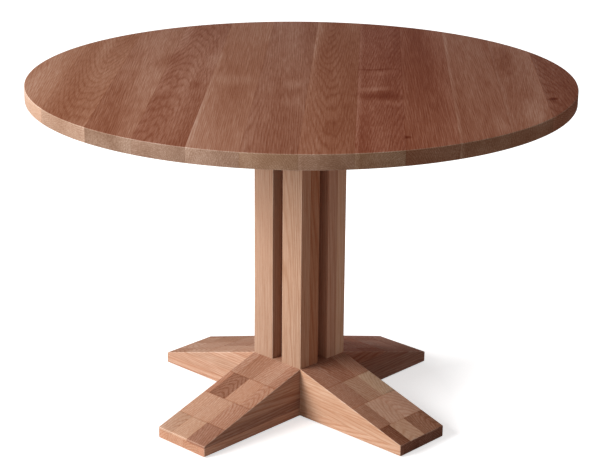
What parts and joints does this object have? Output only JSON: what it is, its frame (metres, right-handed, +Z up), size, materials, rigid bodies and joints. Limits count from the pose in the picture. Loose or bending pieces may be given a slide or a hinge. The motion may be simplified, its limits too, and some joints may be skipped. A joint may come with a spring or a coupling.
{
  "type": "round pedestal table",
  "caption": "Round wooden dining table with an edge-glued top on a grooved square column and a cross base of four feet that slope down to their ends.",
  "frame": {"origin": "on the floor, on the column's axis", "axes": "+Z up; the four feet point along the diagonals between X and Y; the front is towards -Y"},
  "size_m": [1.1999, 1.2, 0.765],
  "materials": {
    "top_oak": "brown-stained oak, oiled, satin",
    "column_oak": "brown-stained oak, oiled, satin",
    "foot_oak": "brown-stained oak, oiled, satin",
    "bearer_oak": "oak, planed and thinly oiled",
    "beech_dowel": "plain turned beech",
    "zinc_steel": "zinc-plated steel",
    "felt": "pressed wool felt"
  },
  "bodies": {
    "root": {"base_dowels": "beech_dowel", "bearer_dowels": "beech_dowel", "bearer_lower": "bearer_oak", "bearer_upper": "bearer_oak", "column_board_back": "column_oak", "column_board_front": "column_oak", "column_core": "column_oak", "column_strip_back": "column_oak", "column_strip_front": "column_oak", "column_strip_left": "column_oak", "column_strip_right": "column_oak", "felt_glides": "felt", "lower_beam_layer_1": "foot_oak", "lower_beam_layer_2": "foot_oak", "lower_beam_layer_3": "foot_oak", "lower_beam_layer_4_back": "foot_oak", "lower_beam_layer_4_front": "foot_oak", "lower_beam_layer_5_back": "foot_oak", "lower_beam_layer_5_front": "foot_oak", "tie_rod": "zinc_steel", "tie_rod_nuts": "zinc_steel", "tie_rod_washers": "zinc_steel", "top_screw_washers": "zinc_steel", "top_screws": "zinc_steel", "top_stave_01": "top_oak", "top_stave_02": "top_oak", "top_stave_03": "top_oak", "top_stave_04": "top_oak", "top_stave_05": "top_oak", "top_stave_06": "top_oak", "top_stave_07": "top_oak", "top_stave_08": "top_oak", "top_stave_09": "top_oak", "top_stave_10": "top_oak", "top_stave_11": "top_oak", "top_stave_12": "top_oak", "upper_beam_layer_1_back": "foot_oak", "upper_beam_layer_1_front": "foot_oak", "upper_beam_layer_2_back": "foot_oak", "upper_beam_layer_2_front": "foot_oak", "upper_beam_layer_3_back": "foot_oak", "upper_beam_layer_3_front": "foot_oak", "upper_beam_layer_4": "foot_oak", "upper_beam_layer_5": "foot_oak"}
  },
  "joints": []
}
